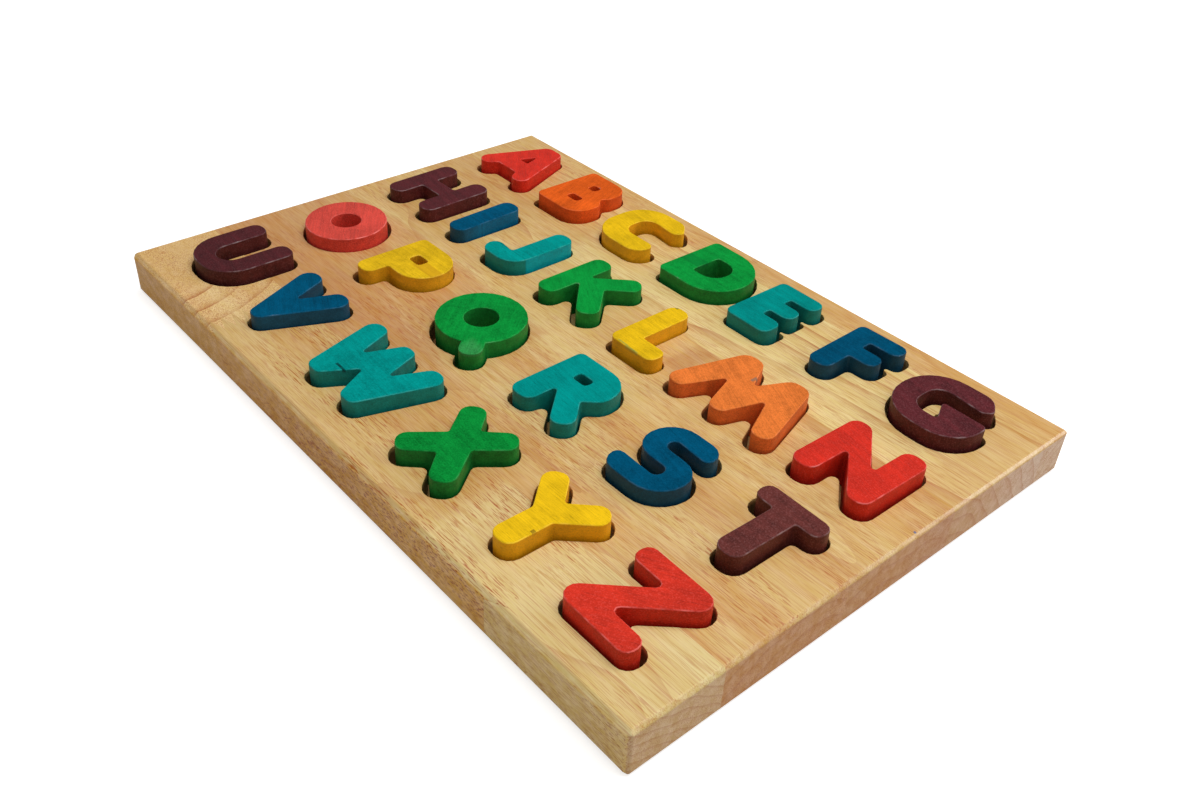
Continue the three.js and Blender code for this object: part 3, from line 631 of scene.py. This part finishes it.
def wood(name, stave, look):
    """Lacquered light hardwood: growth rings round a heart line, streaks of tone, fibres and open pores."""
    material, tree, mm = new_material(name)
    x, y, z = axes(tree, mm)
    seed = stave.seed
    upright = abs(stave.rings.run[2]) > abs(stave.rings.run[0])

    # Outer faces, where the grain runs out and its lines are short
    outer = calc(tree, "SUBTRACT", 1.0, board_area(tree, mm, EDGE_BREAK, EDGE_BORDER))
    below = below_top(tree, z, FACE_START)
    face = calc(tree, "ROUND", product(tree, outer, below))
    short = product(tree, x, between(tree, face, (1.0, FACE_GRAIN)))
    grain = put(tree, "ShaderNodeCombineXYZ", {0: short, 1: y, 2: z}).outputs[0]

    # Growth rings and slow changes of tone
    drift = vector(tree, "SUBTRACT", noise(tree, mm, DRIFT, seed)["Color"], NOISE_MIDDLE)
    drift = vector(tree, "MULTIPLY", drift, WANDER_UPRIGHT if upright else WANDER)
    wandered = vector(tree, "ADD", mm, drift)
    line = ring_lines(tree, wandered, stave.rings)
    fade = span(tree, noise(tree, mm, RING_FADE, seed)[0], FADE_VALUES, FADE_SHARE)
    tone = span(tree, noise(tree, wandered, TONE, seed)[0], TONE_VALUES, TONE_SHARE)

    # Fine grain
    fibre = noise(tree, grain, FIBRE, seed, upright)[0]
    streak = noise(tree, grain, STREAK, seed, upright)[0]
    ripple = noise(tree, grain, RIPPLE, seed, upright)[0]
    mottle = noise(tree, mm, FACE_MOTTLE, seed)[0]
    hair = span(tree, noise(tree, grain, HAIR, seed, upright)[0], HAIR_VALUES, (0.0, HAIR_SHARE))
    pore = span(tree, noise(tree, grain, PORE, seed, upright)[0], PORE_VALUES)
    crowd = span(tree, noise(tree, mm, CROWD, seed)[0], CROWD_VALUES, CROWD_SHARE)
    pores = product(tree, pore, crowd, PORE_SHARE * stave.pores, between(tree, face, (1.0, FACE_PORES)))

    # Colour
    colour = blend(tree, tone, rgba(shade(stave.pale)), rgba(shade(stave.deep)))
    colour = blend(tree, product(tree, line, fade, stave.lines), colour, rgba(look.figure))
    colour = add_patches(tree, colour, wandered, stave.patches)
    # Tints of the outer faces; on the front face they paint in the warm tone of its shade
    colour = add_patches(tree, colour, mm, stave.faces, below)
    colour = add_patches(tree, colour, mm, stave.specks)
    sawn = span(tree, x, [END - depth for depth in SAWN_DEPTH], (0.0, SAWN_RINGS))
    colour = blend(tree, product(tree, line, sawn, below), colour, rgba(look.figure))
    colour = blend(tree, hair, colour, rgba(look.pore))
    colour = blend(tree, pores, colour, rgba(look.pore))
    # Painted shade in the pockets, full on their walls and less on their floors
    colour = blend(tree, pocket_shade(tree, mm, z, look.pocket_dark), colour, rgba(look.pocket))
    lightness = total(
        tree, span(tree, streak, USUAL, STREAK_LIGHT), span(tree, fibre, USUAL, FIBRE_LIGHT),
        span(tree, ripple, USUAL, RIPPLE_LIGHT), product(tree, outer, span(tree, mottle, USUAL, FACE_LIGHT)))
    richness = span(tree, lightness, RICH_VALUES, RICHNESS)
    sockets = {"Saturation": richness, "Value": lightness, "Color": colour}
    colour = put(tree, "ShaderNodeHueSaturation", sockets).outputs[0]

    # Lacquer, thick enough on the top's outer edges to catch the light
    roughness = span(tree, fibre, USUAL, WOOD_ROUGHNESS)
    relief = calc(tree, "SUBTRACT", product(tree, fibre, WOOD_RELIEF), pores)
    edge = product(tree, outer, below_top(tree, z, GLOSS_START))
    coat = between(tree, edge, (look.gloss, look.edge_gloss))
    finish_material(tree, colour, roughness, relief, WOOD_BUMP, coat, WOOD_SHINE)
    return material


def stain(name, colour, turn, mottle, sheen, marks, seam, seed):
    """Wood stained right through: darker in the pores and uneven, with painted shade on the sides, painted
    sheen specks, and edges that are rubbed and carry a painted highlight.
    """
    material, tree, mm = new_material(name)
    split = axes(tree, mm)
    sockets = {"Vector": mm, "Angle": math.radians(turn)}
    grain = put(tree, "ShaderNodeVectorRotate", sockets, rotation_type="Z_AXIS").outputs[0]
    worn_and_highlit = put(tree, "ShaderNodeAttribute", attribute_name="worn_and_highlit").outputs["Fac"]
    side = put(tree, "ShaderNodeAttribute", attribute_name="side").outputs["Fac"]

    # Unevenness
    fibre = noise(tree, grain, STAIN_FIBRE, seed)[0]
    streak = noise(tree, grain, STAIN_STREAK, seed)[0]
    cloud = noise(tree, mm, STAIN_CLOUD, seed)[0]
    patchiness = noise(tree, mm, STAIN_PATCHINESS, seed)[0]
    speckle = noise(tree, mm, STAIN_SPECKLE, seed)[0]
    blotch = noise(tree, mm, STAIN_BLOTCH, seed)[0]
    pore = span(tree, noise(tree, grain, STAIN_PORE, seed)[0], STAIN_PORE_VALUES)
    lightness = total(
        tree, span(tree, cloud, USUAL, CLOUD_LIGHT), span(tree, fibre, WIDE, STAIN_FIBRE_LIGHT),
        span(tree, streak, USUAL, [mottle * light for light in STAIN_STREAK_LIGHT]),
        span(tree, speckle, WIDE, [mottle * light for light in SPECKLE_LIGHT]),
        span(tree, blotch, USUAL, [mottle * light for light in BLOTCH_LIGHT]))
    lightness = calc(tree, "SUBTRACT", lightness, product(tree, pore, STAIN_PORE_DARK))

    # Colour
    # Painted shade: the sides get a deeper, warmer copy of the stain
    shaded_side = [value * share + add for value, share, add in zip(colour, SIDE_SHADE_SHARE, SIDE_SHADE_ADD)]
    tinted = blend(tree, side, rgba(colour), rgba(shaded_side))
    if seam:
        beyond = product(tree, side, span(tree, split["Y"], (seam.place - seam.reach, seam.place)))
        tinted = blend(tree, beyond, tinted, rgba(shade(seam.colour)))
        joint = area(tree, mm, (0, seam.place), SEAM_HALF, SEAM_BORDER)
        tinted = blend(tree, product(tree, joint, SEAM_STRENGTH), tinted, changed(colour, SEAM_SHARE, 0.0))
    tinted = put(tree, "ShaderNodeHueSaturation", {"Value": lightness, "Color": tinted}).outputs[0]
    # Painted sheen: pale specks on the glossier stains that stand in for light caught by the lacquer
    sheen_specks = span(tree, speckle, SHEEN_SPECK_VALUES, (0.0, SHEEN_SPECK_SHARE * sheen))
    tinted = blend(tree, sheen_specks, tinted, changed(colour, *SHEEN_SPECKED))
    # Rubbed edges: paler worn stain with a painted highlight added, stronger on the glossier stains
    rubbed_and_highlit = product(tree, worn_and_highlit, span(tree, patchiness, RUB_AND_HIGHLIGHT_VALUES, RUB_AND_HIGHLIGHT_SHARE))
    share, add = RUBBED_AND_HIGHLIT
    tinted = blend(tree, rubbed_and_highlit, tinted, changed(colour, share, add + EDGE_HIGHLIGHT_SHEEN * sheen))
    nick = product(tree, worn_and_highlit, span(tree, patchiness, NICK_VALUES))
    share, add = NICKED
    tinted = blend(tree, nick, tinted, changed(colour, share, add + sheen))
    near_top = span(tree, split["Z"], [LETTER_TOP - depth for depth in MARK_DEPTH])
    tinted = add_patches(tree, tinted, mm, marks, product(tree, near_top, span(tree, speckle, MARK_VALUES)))

    roughness = span(tree, fibre, USUAL, STAIN_ROUGHNESS)
    relief = calc(tree, "SUBTRACT", product(tree, fibre, STAIN_RELIEF), pore)
    shine = between(tree, side, (sheen, SIDE_SHINE))
    finish_material(tree, tinted, roughness, relief, STAIN_BUMP, 0.0, shine)
    return material


def material_slots():
    """The material slot of each CAD node."""
    return {part["node"]: part["material_slot"] for part in frame["record"]["subparts"]}


# Operators

class PUZZLE_OT_board(bpy.types.Operator):
    """Eases the pocket rims and outer edges of the staves and gives each its wood"""
    bl_idname = "puzzle.board"
    bl_label = "Board"

    def execute(self, context):
        look = context.scene.puzzle_board
        for name, stave in STAVES.items():
            piece = refined_copy(name, "lacquered_" + name)
            round_edges(piece, self.is_outer_edge, look.outer_round, OUTER_SEGMENTS)
            round_edges(piece, self.is_pocket_rim, look.rim_round, RIM_SEGMENTS)
            round_edges(piece, self.is_upright_corner, look.corner_round, CORNER_SEGMENTS)
            smooth(piece)
            piece.data.materials.clear()
            piece.data.materials.append(wood(name + "_wood", stave, look))
            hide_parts(name)
            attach(piece, "board")
        return {"FINISHED"}

    @staticmethod
    def is_glued(face):
        """A face inside the board, where a stave meets its neighbour."""
        lowest = min(vert.co.z for vert in face.verts)
        if abs(face.normal.z) > CHAMFER_SLOPES[0] or lowest > POCKET_FLOOR * MM - UNDER_POCKETS:
            return False
        middle = face.calc_center_median()
        return all(abs(value) < limit - OUTER_BAND for value, limit in zip(middle.xy, CAD_BOX[1].xy))

    @classmethod
    def is_outer_edge(cls, edge):
        """An edge of the chamfers that run round the top and bottom of the board."""
        if any(cls.is_glued(face) for face in edge.link_faces):
            return False
        return any(is_chamfer(face) for face in edge.link_faces) and edge.calc_face_angle(0) > CORNER_ANGLE

    @staticmethod
    def is_upright_corner(edge):
        """An upright edge of the board's outer corners."""
        first, second = (vert.co for vert in edge.verts)
        upright = (first.xy - second.xy).length < LEVEL
        outside = all(abs(value) > limit - CORNER_BAND for value, limit in zip(first.xy, CAD_BOX[1].xy))
        return upright and outside and edge.calc_face_angle(0) > CORNER_ANGLE

    @classmethod
    def is_pocket_rim(cls, edge):
        """An edge between the top and a pocket's wall."""
        if min(vert.co.z for vert in edge.verts) < BOARD_TOP * MM - LEVEL:
            return False
        if any(cls.is_glued(face) for face in edge.link_faces):
            return False
        return edge.calc_face_angle(0) > RIM_ANGLE


class PUZZLE_OT_letters(bpy.types.Operator):
    """Rounds the edges of the letters, marks the faces that are rubbed and take a painted highlight and the
    sides that take painted shade, and stains them
    """
    bl_idname = "puzzle.letters"
    bl_label = "Letters"

    def execute(self, context):
        look = context.scene.puzzle_letters
        slots = material_slots()
        for number, (letter, (depth, faded, turn, mottle)) in enumerate(LETTERS.items()):
            node_name = "letter_" + letter
            piece = refined_copy(node_name, "stained_" + letter)
            round_edges(piece, self.is_broken_edge, look.edge_round, LETTER_SEGMENTS)
            smooth(piece)
            # Marks the broken edges, rubbed and given a painted highlight, and the sides, given painted shade
            self.mark(piece, "worn_and_highlit", *WORN_AND_HIGHLIT_SLOPES)
            self.mark(piece, "side", *SIDE_SLOPES)
            slot = slots[node_name]
            stain_name = slot.removesuffix("_stain")
            stained = getattr(look, stain_name)
            colour = [value * depth * (1 - faded) + bare * faded for value, bare in zip(stained, look.bare)]
            piece.data.materials.clear()
            piece.data.materials.append(stain(
                "stain_" + letter, colour, turn, mottle, SHEEN.get(stain_name, MATT), MARKS.get(letter, []),
                SEAMS.get(letter), seed=number * STAIN_KINDS + 1))
            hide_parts(node_name)
            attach(piece, "letter " + letter)
        return {"FINISHED"}

    @staticmethod
    def is_broken_edge(edge):
        """The level edges of the small chamfer between a side and the top or bottom."""
        level = abs(edge.verts[0].co.z - edge.verts[1].co.z) < MERGE
        return level and any(is_chamfer(face) for face in edge.link_faces)

    @staticmethod
    def mark(piece, name, low, high):
        """Marks the faces whose slope lies in a range, for the stain to read."""
        slopes = [abs(face.normal.z) for face in piece.data.polygons]
        marks = piece.data.attributes.new(name, "FLOAT", "FACE")
        marks.data.foreach_set("value", [1.0 if low < slope <= high else 0.0 for slope in slopes])


class PUZZLE_OT_stage(bpy.types.Operator):
    """Sets up the pale floor, the soft lamps and the camera"""
    bl_idname = "puzzle.stage"
    bl_label = "Stage"

    def execute(self, context):
        look = context.scene.puzzle_stage
        context.scene.view_settings.view_transform = "Standard"
        self.floor()
        self.sky(look)
        self.lamp("top_lamp", look.top, TOP_LAMP_SIZE, TOP_LAMP_PLACE)
        self.lamp("back_lamp", look.back, BACK_LAMP_SIZE, BACK_LAMP_PLACE)
        self.camera(look)
        return {"FINISHED"}

    @staticmethod
    def seen(tree):
        """One for what the camera sees, straight or through something clear."""
        path = put(tree, "ShaderNodeLightPath").outputs
        return calc(tree, "MAXIMUM", path["Is Camera Ray"], path["Is Transmission Ray"])

    @classmethod
    def floor(cls):
        """A matt floor that looks white and still takes the puzzle's shadow."""
        bpy.ops.object.select_all(action="DESELECT")
        bpy.ops.mesh.primitive_plane_add(size=FLOOR_SIZE, location=(0, 0, -FLOOR_DROP))
        plane = bpy.context.object
        plane.name = "floor"
        material = bpy.data.materials.new("floor_white")
        material.use_nodes = True
        tree = material.node_tree
        tree.nodes.clear()
        matt = put(tree, "ShaderNodeBsdfDiffuse", {"Color": FLOOR_GREY}).outputs[0]
        away = length(tree, put(tree, "ShaderNodeTexCoord").outputs["Object"])
        glow = span(tree, away, FLOOR_REACH, FLOOR_GLOW)
        lit = put(tree, "ShaderNodeEmission", {"Color": WHITE, "Strength": glow}).outputs[0]
        bright = put(tree, "ShaderNodeAddShader", {0: matt, 1: lit}).outputs[0]
        mixed = put(tree, "ShaderNodeMixShader", {0: cls.seen(tree), 1: matt, 2: bright}).outputs[0]
        output = put(tree, "ShaderNodeOutputMaterial")
        tree.links.new(mixed, output.inputs[0])
        plane.data.materials.append(material)

    @classmethod
    def sky(cls, look):
        """Even light from all round, seen as white."""
        world = bpy.data.worlds.new("studio")
        bpy.context.scene.world = world
        world.use_nodes = True
        tree = world.node_tree
        tree.nodes.clear()
        sockets = {"Value": cls.seen(tree), "To Min": look.sky, "To Max": 1.0}
        strength = put(tree, "ShaderNodeMapRange", sockets).outputs[0]
        light = put(tree, "ShaderNodeBackground", {"Color": WHITE, "Strength": strength}).outputs[0]
        output = put(tree, "ShaderNodeOutputWorld")
        tree.links.new(light, output.inputs[0])

    @staticmethod
    def lamp(name, power, size, place):
        """A square lamp that faces the puzzle."""
        data = bpy.data.lights.new(name, "AREA")
        data.energy = power
        data.size = size
        lamp = bpy.data.objects.new(name, data)
        bpy.context.scene.collection.objects.link(lamp)
        lamp.location = place
        lamp.rotation_euler = (-place).to_track_quat("-Z", "Y").to_euler()

    @staticmethod
    def camera(look):
        """The camera at the photograph's angle."""
        data = bpy.data.cameras.new("photo_camera")
        data.sensor_fit = "HORIZONTAL"
        data.sensor_width = SENSOR_WIDTH
        data.lens = look.lens
        camera = bpy.data.objects.new("photo_camera", data)
        bpy.context.scene.collection.objects.link(camera)
        right = CAMERA_RIGHT.normalized()
        ahead = CAMERA_AHEAD.normalized()
        turned = Matrix((right, right.cross(ahead), -ahead)).transposed().to_4x4()
        camera.matrix_world = Matrix.Translation(look.eye) @ turned
        bpy.context.scene.camera = camera


class PUZZLE_PT_panel(bpy.types.Panel):
    """Buttons and settings of the puzzle"""
    bl_label = "Capital letter puzzle"
    bl_idname = "PUZZLE_PT_panel"
    bl_space_type = "VIEW_3D"
    bl_region_type = "UI"
    bl_category = "Puzzle"

    def draw(self, context):
        for operator in (PUZZLE_OT_board, PUZZLE_OT_letters, PUZZLE_OT_stage):
            self.layout.operator(operator.bl_idname)
        for group in (context.scene.puzzle_board, context.scene.puzzle_letters, context.scene.puzzle_stage):
            box = self.layout.box()
            for prop in group.bl_rna.properties:
                if prop.identifier not in {"rna_type", "name"}:
                    box.prop(group, prop.identifier)


CLASSES = (
    BoardLook, LetterLook, StageLook, PUZZLE_OT_board, PUZZLE_OT_letters, PUZZLE_OT_stage, PUZZLE_PT_panel)


def register():
    for item in CLASSES:
        bpy.utils.register_class(item)
    bpy.types.Scene.puzzle_board = bpy.props.PointerProperty(type=BoardLook)
    bpy.types.Scene.puzzle_letters = bpy.props.PointerProperty(type=LetterLook)
    bpy.types.Scene.puzzle_stage = bpy.props.PointerProperty(type=StageLook)


def unregister():
    del bpy.types.Scene.puzzle_board
    del bpy.types.Scene.puzzle_letters
    del bpy.types.Scene.puzzle_stage
    for item in reversed(CLASSES):
        bpy.utils.unregister_class(item)


def main():
    register()
    bpy.ops.puzzle.board()
    bpy.ops.puzzle.letters()
    bpy.ops.puzzle.stage()


if __name__ == "__main__":
    main()
